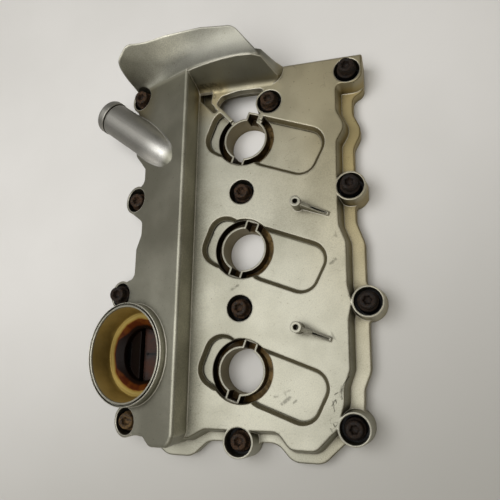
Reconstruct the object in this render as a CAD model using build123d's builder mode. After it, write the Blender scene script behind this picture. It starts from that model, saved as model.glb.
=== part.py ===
from build123d import *
import math
import os

# ---------------------------------------------------------------- levels, mm
# origin: axis of the middle coil well, on the sealing plane of the base
deck_z = 22.0
ledge_z = 10.0
skin = 3.5
deck_wall = 2.5
draft_run = 3.9

# ---------------------------------------------------------------- coil wells
well_pitch = 90.0
well_ys = [well_pitch, 0.0, -well_pitch]
well_bore_r = 16.2
well_tube_r = 17.6
well_tube_top = 19.0
well_foot_r = 19.2
moat_r = 22.8
moat_floor_z = 8.0
cup_wall = 2.4
cup_base_z = 5.0
tab_angles = [71.0, 251.0]
tab_width = 8.0
tab_reach = 4.4
tab_wall = 1.3
tab_mid_r = 18.4

# ---------------------------------------------------------------- coil pockets
pocket_depth = 5.0
pocket_draft = 41.0
pocket_left = [(0, 24.0), (-23.5, 28.2), (-36.3, -4.8), (-13.0, -18.6), (0, 0)]
pocket_right = [(0, 0), (6.0, -22.6), (51.4, -39.0), (69.1, -2.5), (8.0, 19.8)]
pocket_round = 14.0
pocket_ring_r = 23.4
pocket_under = 2.2

# ---------------------------------------------------------------- bolts
right_bolts = [(81.4, 136.1), (81.4, 42.7), (90.9, -41.8), (79.2, -126.0)]
middle_bolts = [(20.1, 118.6), (-1.5, 45.0), (-1.5, -45.0), (-1.2, -138.2)]
left_bolts = [(-91.0, 135.5), (-91.0, 44.5), (-101.5, -33.0), (-88.0, -127.6)]
bolt_tops = [30.0, 30.5, 29.0, 24.0, 28.0, 24.5, 24.5, 21.0, 28.5, 25.0, 28.0, 25.5]
boss_r = 11.1
boss_draft = 5.0
left_boss_r = 11.5
boss_foot_r = 12.2
corner_boss_inset = 1.5
counterbore_r = 9.84
counterbore_floor_z = 7.0
grommet_hole_r = 6.8

bolt_head_r = 5.8
bolt_head_height = 6.5
bolt_flange_r = 7.4
bolt_flange_height = 1.4
bolt_shank_r = 3.0
bolt_shank_length = 12.0
bolt_tip = 0.6
socket_r = 3.0
socket_sides = 6
socket_depth = 3.6
fit_gap = 0.05
grommet_flange_r = 9.6
grommet_flange_height = 3.2
grommet_collar_r = 6.9
grommet_foot_z = 0.8
sleeve_r = 4.6
sleeve_bore_r = 3.3
sleeve_foot_z = 0.4

# ---------------------------------------------------------------- seals and baffle
gasket_width = 3.2
gasket_height = 3.8
gasket_groove_depth = 4.0
gasket_land = 2.0
gasket_land_z = 6.5
gasket_path = [
    (70.4, 140.5), (70.4, 60.0), (70.4, 30.0), (71.5, 12.0), (75.0, 0.0), (75.5, -88.0),
    (69.5, -104.0), (67.5, -118.0), (67.0, -130.0), (52.0, -137.5), (37.0, -137.5),
    (27.0, -127.3), (-27.0, -127.3), (-40.0, -145.5), (-61.0, -145.5), (-73.0, -139.0),
    (-76.5, -126.0), (-82.0, -116.0), (-92.0, -108.0), (-92.0, -50.0), (-90.0, -34.0),
    (-88.5, -20.0), (-84.0, 8.0), (-84.0, 28.0), (-80.0, 36.0), (-80.0, 53.0),
    (-84.0, 62.0), (-84.0, 70.0), (-93.5, 84.0), (-93.5, 118.0), (-82.0, 126.0),
    (-79.0, 136.0), (-79.0, 143.0), (-60.0, 143.0)]
gasket_round = 10.0
seal_r0 = 17.2
seal_r1 = 18.4
baffle_z = 3.0
baffle_thick = 1.5
baffle_outline = [(-44.5, -121.0), (-44.5, 64.0), (-70.0, 64.0), (-76.0, 30.0),
                  (-76.0, 10.0), (-80.0, 2.0), (-80.0, -19.0), (-86.4, -50.0),
                  (-86.4, -105.0), (-80.0, -111.0), (-72.0, -121.0)]
baffle_screws_at = [(-50.0, -114.0), (-50.0, -35.0), (-75.0, -30.0), (-50.0, 15.0),
                    (-70.0, 20.0), (-50.0, 57.0)]
baffle_boss_r = 4.6
baffle_boss_inset = 2.3
baffle_slot_at = (-74.0, -78.5)
baffle_slot = (20.0, 1.8)
baffle_slot_depth = 1.0
baffle_rib_x = -62.0
baffle_rib_y = [-10.0, -2.0, 38.0]
baffle_rib = (24.0, 2.0, 3.5)
baffle_round = 4.0
screw_head_r = 4.0
screw_head_height = 2.2
screw_r = 2.2
screw_length = 9.0
screw_recess_r = 1.9
screw_recess_depth = 1.2

# ---------------------------------------------------------------- outlines
deck_outline = [
    (92.5, 147.5), (92.5, 125.6), (74.0, 125.6), (72.6, 122.0), (72.6, 104.0),
    (77.6, 93.0), (77.6, 88.6), (72.2, 79.0), (72.0, 55.0), (72.0, 30.0),
    (72.4, 14.0), (77.3, 1.0), (77.3, -30.0), (80.0, -42.0), (77.5, -54.0),
    (77.5, -88.0), (73.5, -99.0), (73.2, -110.0), (68.0, -127.0), (64.0, -130.5),
    (53.5, -141.5), (36.0, -141.3), (27.0, -130.2), (-27.0, -130.6),
    (-39.5, -137.5), (-60.0, -137.5), (-60.0, 147.5)]
base_outline = [
    (93.2, 147.5), (93.2, 123.0), (84.3, 119.0), (84.3, 104.7), (89.4, 93.0),
    (89.4, 87.0), (84.2, 77.0), (84.2, 55.0), (84.3, 30.0), (84.3, 18.0),
    (90.0, 2.0), (90.0, -30.0), (91.0, -42.0), (91.0, -89.0), (86.2, -101.0),
    (85.8, -113.0), (80.0, -128.0), (72.0, -137.0), (57.0, -151.3),
    (35.5, -151.3), (24.5, -139.3), (-27.5, -140.2), (-40.0, -151.7),
    (-60.0, -151.7), (-74.0, -141.0), (-90.0, -139.5), (-99.0, -125.0),
    (-97.0, -105.0), (-97.0, -52.0), (-104.0, -33.0), (-92.0, -10.0),
    (-87.0, 12.0), (-87.0, 24.0), (-99.0, 36.0), (-97.0, 52.0), (-87.0, 60.0),
    (-87.0, 70.0), (-98.0, 84.0), (-98.0, 147.5)]
box_outline = [
    (-40.0, 147.5), (-40.0, -133.5), (-44.0, -141.5), (-62.0, -143.0),
    (-70.0, -136.0), (-88.0, -137.5), (-96.0, -127.0), (-90.5, -112.0),
    (-90.5, -50.0), (-104.0, -33.0), (-97.0, -22.0), (-88.0, -20.0),
    (-88.0, 3.0), (-83.0, 14.0), (-83.0, 25.0), (-97.0, 35.0), (-97.0, 50.0),
    (-83.0, 58.0), (-83.0, 70.0), (-95.0, 84.0), (-95.0, 121.0),
    (-97.0, 130.0), (-97.0, 147.5)]
deck_round = 8.0
box_round = 6.0
foot_round = 12.0
base_blend = 4.0
corner_share = 0.49
corner_least = 6.0
deck_edge = 1.2
base_edge = 1.0

box_height = 80.0

# ---------------------------------------------------------------- sloped top
slope = 0.42
slope_z0 = 63.0
slope_span = 260.0
ridge_x = -40.0
ridge_round = 2.2

# ---------------------------------------------------------------- end wall
end_y = 147.5
crest_y = 142.0
crest_z = 52.0
wall_top_z = 58.0
wall_draft = 11.3
corner_x = 93.2
cove_r = 4.9
cove_reach = 4.0
cove_plan_round = 10.0
cove_end = [(-60.0, 131.0), (18.0, 131.0), (21.5, 132.3), (27.5, 136.2), (30.2, 139.5),
            (31.5, 144.4), (31.5, 148.0), (-60.0, 148.0)]
crest_profile = [(-40.0, 46.2), (-36.0, 47.6), (-27.0, 49.6), (-18.0, 51.4),
                 (-9.0, 52.6), (3.0, 53.4), (14.0, 52.4), (20.6, 49.0),
                 (24.0, 39.0), (27.3, 30.0), (31.5, 22.0)]
# stations of the visor: x, then y and z of the four points that its hollow curve follows
visor_stations = [
    (-99.0, (143.0, 21.6), (146.5, 22.5), (142.5, 50.0), (152.0, 62.0)),
    (-85.0, (143.0, 27.4), (149.0, 28.6), (150.0, 46.0), (163.0, 62.5)),
    (-65.0, (143.0, 35.8), (151.5, 36.8), (155.5, 46.0), (166.0, 63.0)),
    (-40.0, (143.0, 46.3), (152.5, 47.0), (158.0, 53.0), (166.5, 63.8)),
    (-15.0, (143.0, 52.1), (152.0, 52.6), (159.5, 56.5), (167.0, 64.5)),
    (5.0, (143.0, 53.6), (151.0, 53.6), (158.0, 57.5), (167.0, 65.0)),
    (24.0, (143.0, 47.5), (149.0, 50.0), (156.0, 56.5), (167.0, 65.0))]
visor_thick = 3.2
visor_plan = [(21.8, 141.0), (13.3, 150.5), (2.0, 163.2), (-24.0, 165.4), (-56.0, 165.0),
              (-88.0, 162.5), (-97.2, 152.0), (-98.2, 141.0)]
visor_round = 12.0

# ---------------------------------------------------------------- oil filler
filler_tilt = 17.0
filler_centre = (-87.4, -79.0, 37.0)
filler_rim_r = 38.2
filler_lip_r = 35.1
filler_groove_r = 36.9
filler_groove_half = 0.75
filler_groove_depth = 3.0
filler_mouth_r = 34.3
filler_mouth_depth = 3.4
filler_step_r = 31.6
filler_step_depth = 16.2
filler_ring_r = 25.6
filler_bore_r = 20.3
filler_throat_depth = 21.0
filler_cup_depth = 20.0
filler_cup_foot_r = 31.0
filler_cup_foot_depth = 23.5
filler_neck_r = 23.5
filler_neck_depth = 25.0
filler_edge = 0.5

# ---------------------------------------------------------------- breather pipe
pipe_angle = 143.5
pipe_start = (-90.0, 100.2, 27.0)
pipe_r = 13.8
pipe_bore_r = 11.2
pipe_in = 48.0
pipe_end_wall = 4.0
pipe_out = 37.6
pipe_bead_r = 14.4
pipe_bead_length = 7.2
pipe_groove_r = 13.0
pipe_groove_width = 1.1
pipe_port_r = 7.0
pipe_port_at = 30.0
pipe_bead_round = 2.2
pipe_bead_edge = 0.6

# ---------------------------------------------------------------- opening
opening_outline = [(-8.5, 105.0), (-17.0, 114.8), (-25.0, 122.5), (-20.0, 129.0),
                   (-6.0, 131.8), (16.0, 131.3), (12.0, 104.0)]
opening_round = 4.0
opening_wall = 3.0
opening_depth = 6.5
corner_pocket = [(-39.6, 141.5), (-38.6, 127.0), (-26.3, 114.1), (-22.3, 116.4),
                 (-29.2, 124.0), (-26.9, 141.5)]
corner_pocket_round = 3.0
corner_pocket_depth = 9.0

# ---------------------------------------------------------------- small bosses
post_points = [(43.0, 30.0), (43.0, -60.0)]
post_r = 4.0
post_height = 13.0
post_hole_r = 1.9
post_hole_depth = 11.0
rib_angle = -19.5
rib_length = 24.0
rib_thick = 3.0
rib_top = 11.0
rib_tail = 1.2
rib_groove = (11.0, 22.6, 1.2)


def bolt_points():
    return right_bolts + middle_bolts + left_bolts


def rounded_feet():
    """Bosses with a round foot: all but the one in the deck's square corner."""
    return [point for point in bolt_points() if point != right_bolts[0]]


def slope_height(x):
    return slope_z0 + slope * x


def rounded_shape(points, radius):
    """Flat shape with these corners, each rounded as far as its sides allow.

    Corners on the cut end face stay square."""
    starts = []
    ends = []
    middles = []
    for index, point in enumerate(points):
        corner = Vector(*point)
        before = Vector(*points[index - 1]) - corner
        after = Vector(*points[(index + 1) % len(points)]) - corner
        half_turn = math.radians(180 - before.get_angle(after)) / 2
        reach = min(radius * math.tan(half_turn),
                    corner_share * min(before.length, after.length))
        if math.degrees(half_turn) < corner_least / 2 or point[1] == end_y:
            reach = 0
        starts.append(corner + before.normalized() * reach)
        ends.append(corner + after.normalized() * reach)
        if reach:
            bow = reach / math.tan(half_turn) * (1 / math.cos(half_turn) - 1)
            middle = corner + (before.normalized() + after.normalized()).normalized() * bow
            middles.append(middle)
        else:
            middles.append(None)
    with BuildSketch() as shape:
        with BuildLine():
            for index, middle in enumerate(middles):
                if middle is not None:
                    ThreePointArc(starts[index], middle, ends[index])
                Line(ends[index], starts[(index + 1) % len(points)])
        make_face()
    return shape.sketch


filler_plane = Plane(
    origin=filler_centre,
    x_dir=(math.cos(math.radians(filler_tilt)), 0, math.sin(math.radians(filler_tilt))),
    z_dir=(-math.sin(math.radians(filler_tilt)), 0, math.cos(math.radians(filler_tilt))))
pipe_dir = (math.cos(math.radians(pipe_angle)), math.sin(math.radians(pipe_angle)), 0)
pipe_plane = Plane(origin=pipe_start, x_dir=(0, 0, 1), z_dir=pipe_dir)

# ---------------------------------------------------------------- sketches
with BuildSketch() as deck_shape:
    add(rounded_shape(deck_outline, deck_round))
with BuildSketch(Plane.XY.offset(ledge_z - skin)) as deck_foot:
    add(deck_shape.sketch)
    offset(amount=draft_run, kind=Kind.ARC)
with BuildSketch() as deck_inner:
    add(deck_shape.sketch)
    offset(amount=-skin - deck_wall, kind=Kind.ARC)
with BuildSketch() as base_shape:
    add(rounded_shape(base_outline, foot_round))
    with Locations(*rounded_feet()):
        Circle(boss_foot_r)
    offset(amount=base_blend, kind=Kind.ARC)
    offset(amount=-base_blend, kind=Kind.ARC)
with BuildSketch() as box_shape:
    add(rounded_shape(box_outline, box_round))
with BuildSketch() as box_inner:
    add(box_shape.sketch)
    offset(amount=-skin, kind=Kind.ARC)
with BuildSketch() as gasket_line:
    add(rounded_shape(gasket_path, gasket_round))
with BuildSketch() as gasket_core:
    add(gasket_line.sketch)
    offset(amount=-gasket_width / 2 - gasket_land, kind=Kind.ARC)
with BuildSketch() as gasket_inside:
    add(gasket_line.sketch)
    offset(amount=-gasket_width / 2, kind=Kind.ARC)
with BuildSketch() as gasket_ring:
    add(gasket_line.sketch)
    offset(amount=gasket_width / 2, kind=Kind.ARC)
    add(gasket_inside.sketch, mode=Mode.SUBTRACT)
with BuildSketch() as groove_inside:
    add(gasket_line.sketch)
    offset(amount=-gasket_width / 2 - fit_gap, kind=Kind.ARC)
with BuildSketch() as groove_ring:
    add(gasket_line.sketch)
    offset(amount=gasket_width / 2 + fit_gap, kind=Kind.ARC)
    add(groove_inside.sketch, mode=Mode.SUBTRACT)
with BuildSketch() as pocket_shape:
    add(rounded_shape(pocket_left, pocket_round))
    add(rounded_shape(pocket_right, pocket_round))
    Circle(pocket_ring_r)
with BuildSketch() as pocket_outer:
    add(pocket_shape.sketch)
    offset(amount=pocket_under, kind=Kind.ARC)

# ---------------------------------------------------------------- body
with BuildPart() as deck_block:
    with BuildSketch(Plane.XY.offset(ledge_z - skin)) as lower:
        add(deck_foot.sketch)
    extrude(amount=deck_z - ledge_z + skin,
            taper=math.degrees(math.atan2(draft_run, deck_z - ledge_z + skin)))
    deck_rim = deck_block.faces().sort_by(Axis.Z)[-1].edges()
    fillet(deck_rim.filter_by(lambda edge: edge.center().Y < end_y - deck_edge), radius=deck_edge)

with BuildPart() as base_block:
    with BuildSketch():
        add(base_shape.sketch)
    extrude(amount=ledge_z)
    fillet(base_block.faces().sort_by(Axis.Z)[-1].edges(), radius=base_edge)

with BuildPart() as box_block:
    with BuildSketch(Plane.XY.offset(ledge_z - skin)):
        add(box_shape.sketch)
    extrude(amount=box_height)
    with BuildSketch(Plane.XZ.offset(slope_span)):
        with BuildLine():
            Polyline((-slope_span / 2, slope_height(-slope_span / 2)), (0, slope_height(0)),
                     (0, slope_span), (-slope_span / 2, slope_span), close=True)
        make_face()
    extrude(amount=-slope_span * 2, mode=Mode.SUBTRACT)
    ridge = box_block.edges().filter_by(Axis.Y).sort_by(Axis.Z)[-1]
    fillet(ridge, radius=ridge_round)

with BuildPart() as box_void:
    with BuildSketch():
        add(box_inner.sketch)
    extrude(amount=box_height)
    with BuildSketch(Plane.XZ.offset(slope_span)):
        with BuildLine():
            Polyline((-slope_span / 2, slope_height(-slope_span / 2) - skin - 1),
                     (0, slope_height(0) - skin - 1),
                     (0, slope_span), (-slope_span / 2, slope_span), close=True)
        make_face()
    extrude(amount=-slope_span * 2, mode=Mode.SUBTRACT)

# ---------------------------------------------------------------- end wall and visor
lean = math.radians(wall_draft)
foot_y = crest_y - (crest_z - deck_z) * math.tan(lean)
cove_top = (foot_y + cove_reach * math.sin(lean), deck_z + cove_reach * math.cos(lean))
with BuildPart() as end_wall:
    with BuildSketch(Plane.YZ.offset(ridge_x)):
        with BuildLine():
            Polyline((end_y, ledge_z), (end_y, wall_top_z),
                     (foot_y + (wall_top_z - deck_z) * math.tan(lean), wall_top_z), cove_top)
            RadiusArc(cove_top, (foot_y - cove_reach, deck_z), cove_r)
            Polyline((foot_y - cove_reach, deck_z), (foot_y - cove_reach, deck_z - skin),
                     (crest_y, deck_z - skin), (crest_y, ledge_z), (end_y, ledge_z))
        make_face()
    extrude(amount=corner_x - ridge_x)
    with BuildSketch(Plane.XZ):
        with BuildLine():
            Polyline((crest_profile[0][0] - 1, ledge_z), *crest_profile,
                     (crest_profile[-1][0], ledge_z), close=True)
        make_face()
    extrude(amount=-slope_span, mode=Mode.INTERSECT)
    with BuildSketch():
        add(rounded_shape(cove_end, cove_plan_round))
    extrude(amount=box_height, mode=Mode.INTERSECT)


def set_back(point, chord):
    """Point moved by the sheet's thickness to the under side of a rising chord."""
    return point + Vector(chord.Y, -chord.X).normalized() * visor_thick


with BuildPart() as visor:
    for station_x, *hollow in visor_stations:
        root, low, high, rim = [Vector(*point) for point in hollow]
        under = [set_back(root, Vector(1, 0)), set_back(low, high - root),
                 set_back(high, rim - low), set_back(rim, rim - high)]
        with BuildSketch(Plane.YZ.offset(station_x)):
            with BuildLine():
                Bezier(root, low, high, rim)
                Line(rim, under[-1])
                Bezier(*reversed(under))
                Line(under[0], root)
            make_face()
    loft()
    with BuildSketch():
        add(rounded_shape(visor_plan, visor_round))
    extrude(amount=box_height * 2, mode=Mode.INTERSECT)

# ---------------------------------------------------------------- turned parts
filler_axis = Axis(filler_centre, filler_plane.z_dir)
filler_section = Plane(origin=filler_centre, x_dir=filler_plane.x_dir,
                       z_dir=filler_plane.x_dir.cross(filler_plane.z_dir))
with BuildPart() as filler_body:
    with BuildSketch(filler_section):
        with BuildLine():
            Polyline((0, 0), (filler_rim_r - filler_edge, 0), (filler_rim_r, -filler_edge),
                     (filler_rim_r, -filler_cup_depth),
                     (filler_cup_foot_r, -filler_cup_foot_depth),
                     (filler_neck_r, -filler_cup_foot_depth),
                     (filler_neck_r, -filler_neck_depth), (0, -filler_neck_depth), close=True)
        make_face()
    revolve(axis=filler_axis)
with BuildPart() as filler_void:
    with BuildSketch(filler_section):
        with BuildLine():
            Polyline((0, 1), (filler_lip_r, 1), (filler_lip_r, 0),
                     (filler_mouth_r, -filler_mouth_depth),
                     (filler_step_r, -filler_step_depth), (filler_ring_r, -filler_step_depth - 1),
                     (filler_bore_r, -filler_throat_depth),
                     (filler_bore_r, -filler_neck_depth - 1), (0, -filler_neck_depth - 1),
                     close=True)
        make_face()
        with BuildLine():
            Polyline((filler_groove_r - filler_groove_half, 1),
                     (filler_groove_r + filler_groove_half, 1),
                     (filler_groove_r + filler_groove_half, -filler_groove_depth),
                     (filler_groove_r - filler_groove_half, -filler_groove_depth), close=True)
        make_face()
    revolve(axis=filler_axis)
pipe_axis = Axis(pipe_start, pipe_dir)
pipe_section = Plane(origin=pipe_start, x_dir=(0, 0, 1),
                     z_dir=Vector(0, 0, 1).cross(Vector(*pipe_dir)))
bead_y0 = pipe_out - pipe_bead_length
with BuildPart() as pipe_body:
    with BuildSketch(pipe_section):
        with BuildLine():
            Polyline((0, -pipe_in), (pipe_r, -pipe_in), (pipe_r, bead_y0 - pipe_groove_width),
                     (pipe_groove_r, bead_y0 - pipe_groove_width), (pipe_groove_r, bead_y0),
                     (pipe_bead_r - pipe_bead_edge, bead_y0),
                     (pipe_bead_r, bead_y0 + pipe_bead_edge),
                     (pipe_bead_r, pipe_out - pipe_bead_round))
            RadiusArc((pipe_bead_r, pipe_out - pipe_bead_round),
                      (pipe_bead_r - pipe_bead_round, pipe_out), -pipe_bead_round)
            Polyline((pipe_bead_r - pipe_bead_round, pipe_out), (0, pipe_out), (0, -pipe_in))
        make_face()
    revolve(axis=pipe_axis)
with BuildPart() as pipe_void:
    with BuildSketch(pipe_plane.offset(-pipe_in + pipe_end_wall)):
        Circle(pipe_bore_r)
    extrude(amount=pipe_in + pipe_out)
    with BuildSketch(Plane(origin=pipe_plane.offset(-pipe_port_at).origin, z_dir=(0, 0, 1))):
        Circle(pipe_port_r)
    extrude(amount=-pipe_start[2])

with BuildPart() as left_bosses:
    with BuildSketch():
        with Locations(*left_bolts):
            Circle(left_boss_r)
    extrude(amount=box_height)
    with BuildSketch(Plane.XZ.offset(slope_span)):
        with BuildLine():
            Polyline((-slope_span / 2, slope_height(-slope_span / 2)), (0, slope_height(0)),
                     (0, slope_span), (-slope_span / 2, slope_span), close=True)
        make_face()
    extrude(amount=-slope_span * 2, mode=Mode.SUBTRACT)

with BuildSketch() as corner_boss:
    add(deck_shape.sketch)
    offset(amount=-corner_boss_inset, kind=Kind.ARC)
    with Locations(right_bolts[0]):
        Circle(boss_foot_r, mode=Mode.INTERSECT)
with BuildPart() as deck_bosses:
    with BuildSketch(Plane.XY.offset(deck_z)):
        with Locations(*right_bolts[1:], *middle_bolts):
            Circle(boss_r)
    extrude(amount=-deck_z, taper=-boss_draft)
    with BuildSketch():
        add(corner_boss.sketch)
    extrude(amount=deck_z - skin / 2)

# ---------------------------------------------------------------- the casting
with BuildPart() as cover_casting:
    add(base_block.part)
    add(deck_block.part)
    add(box_block.part)
    # the inside of the shell
    with BuildSketch():
        add(deck_inner.sketch)
    extrude(amount=deck_z - skin, mode=Mode.SUBTRACT)
    add(box_void.part, mode=Mode.SUBTRACT)
    # land of the gasket and roots of the bosses
    with BuildSketch():
        add(gasket_line.sketch)
        offset(amount=gasket_width / 2 + gasket_land, kind=Kind.ARC)
        add(gasket_core.sketch, mode=Mode.SUBTRACT)
        with Locations(*rounded_feet()):
            Circle(boss_foot_r)
    extrude(amount=gasket_land_z)
    for boss_x, boss_y in baffle_screws_at:
        with BuildSketch():
            with Locations((boss_x, boss_y)):
                Circle(baffle_boss_r)
        extrude(amount=slope_height(boss_x) - baffle_boss_inset)
    with BuildSketch():
        with Locations(*baffle_screws_at):
            Circle(baffle_boss_r + 1)
    extrude(amount=baffle_z + baffle_thick, mode=Mode.SUBTRACT)
    with BuildSketch():
        with Locations(*baffle_screws_at):
            Circle(screw_r + fit_gap)
    extrude(amount=baffle_z + baffle_thick + screw_length, mode=Mode.SUBTRACT)
    # end wall and visor
    add(end_wall.part)
    add(visor.part)
    # pockets round the coil wells
    for well_y in well_ys:
        with BuildSketch(Plane.XY.offset(deck_z - pocket_depth - skin)):
            with Locations((0, well_y)):
                add(pocket_outer.sketch)
        extrude(amount=skin)
    for well_y in well_ys:
        with BuildSketch(Plane.XY.offset(cup_base_z)):
            with Locations((0, well_y)):
                Circle(moat_r + cup_wall)
        extrude(amount=deck_z - pocket_depth - cup_base_z)
    for well_y in well_ys:
        with BuildSketch(Plane.XY.offset(deck_z)):
            with Locations((0, well_y)):
                add(pocket_shape.sketch)
        extrude(amount=-pocket_depth, taper=pocket_draft, mode=Mode.SUBTRACT)
    # moats, then the thin tubes with their locating tabs
    for well_y in well_ys:
        with BuildSketch(Plane.XY.offset(moat_floor_z)):
            with Locations((0, well_y)):
                Circle(moat_r)
        extrude(amount=deck_z, mode=Mode.SUBTRACT)
    # corner pocket and the window through the deck beside the first well
    with BuildSketch(Plane.XY.offset(deck_z - corner_pocket_depth - skin)):
        add(rounded_shape(corner_pocket, corner_pocket_round))
        offset(amount=pocket_under, kind=Kind.ARC)
    extrude(amount=corner_pocket_depth)
    with BuildSketch(Plane.XY.offset(deck_z)):
        add(rounded_shape(corner_pocket, corner_pocket_round))
    extrude(amount=-corner_pocket_depth, mode=Mode.SUBTRACT)
    with BuildSketch(Plane.XY.offset(deck_z - opening_depth)):
        add(rounded_shape(opening_outline, opening_round))
        offset(amount=opening_wall, kind=Kind.ARC)
    extrude(amount=opening_depth)
    with BuildSketch():
        add(rounded_shape(opening_outline, opening_round))
    extrude(amount=deck_z, mode=Mode.SUBTRACT)
    # columns of the bolt bosses, the left ones cut to the sloped top
    add(deck_bosses.part)
    add(left_bosses.part)
    for well_y in well_ys:
        with BuildSketch(Plane.XY.offset(well_tube_top)):
            with Locations((0, well_y)):
                Circle(well_foot_r)
        extrude(amount=deck_z, mode=Mode.SUBTRACT)
    # tubes, feet and tabs of the coil wells
    for well_y in well_ys:
        with BuildSketch():
            with Locations((0, well_y)):
                Circle(well_foot_r)
        extrude(amount=moat_floor_z)
        with BuildSketch():
            with Locations((0, well_y)):
                Circle(well_tube_r)
                for tab_angle in tab_angles:
                    with Locations((tab_mid_r * math.cos(math.radians(tab_angle)),
                                    tab_mid_r * math.sin(math.radians(tab_angle)))):
                        Rectangle(tab_reach + 2 * tab_wall + 2, tab_width + 2 * tab_wall,
                                  rotation=tab_angle)
        extrude(amount=well_tube_top)
        with BuildSketch(Plane.XY.offset(moat_floor_z)):
            with Locations((0, well_y)):
                for tab_angle in tab_angles:
                    with Locations((tab_mid_r * math.cos(math.radians(tab_angle)),
                                    tab_mid_r * math.sin(math.radians(tab_angle)))):
                        Rectangle(tab_reach + 2, tab_width, rotation=tab_angle)
        extrude(amount=deck_z, mode=Mode.SUBTRACT)
        with BuildSketch():
            with Locations((0, well_y)):
                Circle(well_bore_r)
        extrude(amount=deck_z, mode=Mode.SUBTRACT)
    # filler cup, neck and funnel
    add(filler_body.part)
    add(filler_void.part, mode=Mode.SUBTRACT)
    # breather pipe and its port down into the box
    add(pipe_body.part)
    add(pipe_void.part, mode=Mode.SUBTRACT)
    # counterbores and grommet holes
    with BuildSketch(Plane.XY.offset(counterbore_floor_z)):
        with Locations(*bolt_points()):
            Circle(counterbore_r)
    extrude(amount=box_height, mode=Mode.SUBTRACT)
    with BuildSketch():
        with Locations(*bolt_points()):
            Circle(grommet_hole_r)
    extrude(amount=deck_z, mode=Mode.SUBTRACT)
    # small threaded posts with their gussets
    for post_x, post_y in post_points:
        with BuildSketch(Plane.XY.offset(deck_z - skin)):
            with Locations((post_x, post_y)):
                Circle(post_r)
        extrude(amount=post_height + skin)
        with BuildSketch(Plane(origin=(post_x, post_y, deck_z),
                               x_dir=(math.cos(math.radians(rib_angle)),
                                      math.sin(math.radians(rib_angle)), 0),
                               z_dir=(math.sin(math.radians(rib_angle)),
                                      -math.cos(math.radians(rib_angle)), 0))):
            with BuildLine():
                Polyline((0, -skin), (0, rib_top), (post_r, rib_top), (rib_length, rib_tail),
                         (rib_length, -skin), close=True)
            make_face()
        extrude(amount=rib_thick / 2, both=True)
        with BuildSketch(Plane(origin=(post_x, post_y, deck_z),
                               x_dir=(math.cos(math.radians(rib_angle)),
                                      math.sin(math.radians(rib_angle)), 0),
                               z_dir=(0, 0, 1))):
            with Locations(((rib_groove[0] + rib_groove[1]) / 2, 0)):
                Rectangle(rib_groove[1] - rib_groove[0], rib_groove[2])
        extrude(amount=rib_top, mode=Mode.SUBTRACT)
        with BuildSketch(Plane.XY.offset(deck_z + post_height)):
            with Locations((post_x, post_y)):
                Circle(post_hole_r)
        extrude(amount=-post_hole_depth, mode=Mode.SUBTRACT)
    # grooves of the gasket and the well seals
    with BuildSketch():
        add(groove_ring.sketch)
        with Locations(*[(0, well_y) for well_y in well_ys]):
            Circle(seal_r1 + fit_gap)
            Circle(seal_r0 - fit_gap, mode=Mode.SUBTRACT)
    extrude(amount=gasket_groove_depth, mode=Mode.SUBTRACT)
    # the end face is cut flat below the visor
    with BuildSketch():
        with BuildLine():
            Polyline((-slope_span, end_y), (slope_span, end_y), (slope_span, slope_span),
                     (-slope_span, slope_span), close=True)
        make_face()
        with BuildLine():
            Polyline((corner_x, 0), (slope_span, 0), (slope_span, slope_span),
                     (corner_x, slope_span), close=True)
        make_face()
    extrude(amount=deck_z + 1, mode=Mode.SUBTRACT)

# ---------------------------------------------------------------- gasket and seals
with BuildPart() as perimeter_gasket:
    with BuildSketch():
        add(gasket_ring.sketch)
    extrude(amount=gasket_height)


def well_seal(seal_y):
    with BuildPart() as seal:
        with BuildSketch():
            with Locations((0, seal_y)):
                Circle(seal_r1)
                Circle(seal_r0, mode=Mode.SUBTRACT)
        extrude(amount=gasket_height)
    return seal.part


# ---------------------------------------------------------------- baffle and its screws
with BuildPart() as baffle_plate:
    with BuildSketch(Plane.XY.offset(baffle_z)):
        with BuildLine():
            Polyline(*baffle_outline, close=True)
        make_face()
        offset(amount=-baffle_round, kind=Kind.ARC)
        offset(amount=baffle_round, kind=Kind.ARC)
        with Locations(*baffle_screws_at):
            Circle(screw_r + fit_gap, mode=Mode.SUBTRACT)
    extrude(amount=baffle_thick)
    with BuildSketch(Plane.XY.offset(baffle_z + baffle_thick)):
        with Locations(baffle_slot_at):
            SlotOverall(*baffle_slot)
    extrude(amount=-baffle_slot_depth, mode=Mode.SUBTRACT)
    with BuildSketch(Plane.XY.offset(baffle_z + baffle_thick)):
        with Locations(*[(baffle_rib_x, rib_y) for rib_y in baffle_rib_y]):
            Rectangle(baffle_rib[0], baffle_rib[1])
    extrude(amount=baffle_rib[2])
with BuildPart() as baffle_screws:
    with BuildSketch(Plane.XY.offset(baffle_z - screw_head_height)):
        with Locations(*baffle_screws_at):
            Circle(screw_head_r)
    extrude(amount=screw_head_height)
    with BuildSketch(Plane.XY.offset(baffle_z)):
        with Locations(*baffle_screws_at):
            Circle(screw_r)
    extrude(amount=baffle_thick + screw_length - 1)
    with BuildSketch(Plane.XY.offset(baffle_z - screw_head_height)):
        with Locations(*baffle_screws_at):
            RegularPolygon(screw_recess_r, socket_sides)
    extrude(amount=screw_recess_depth, mode=Mode.SUBTRACT)

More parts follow.
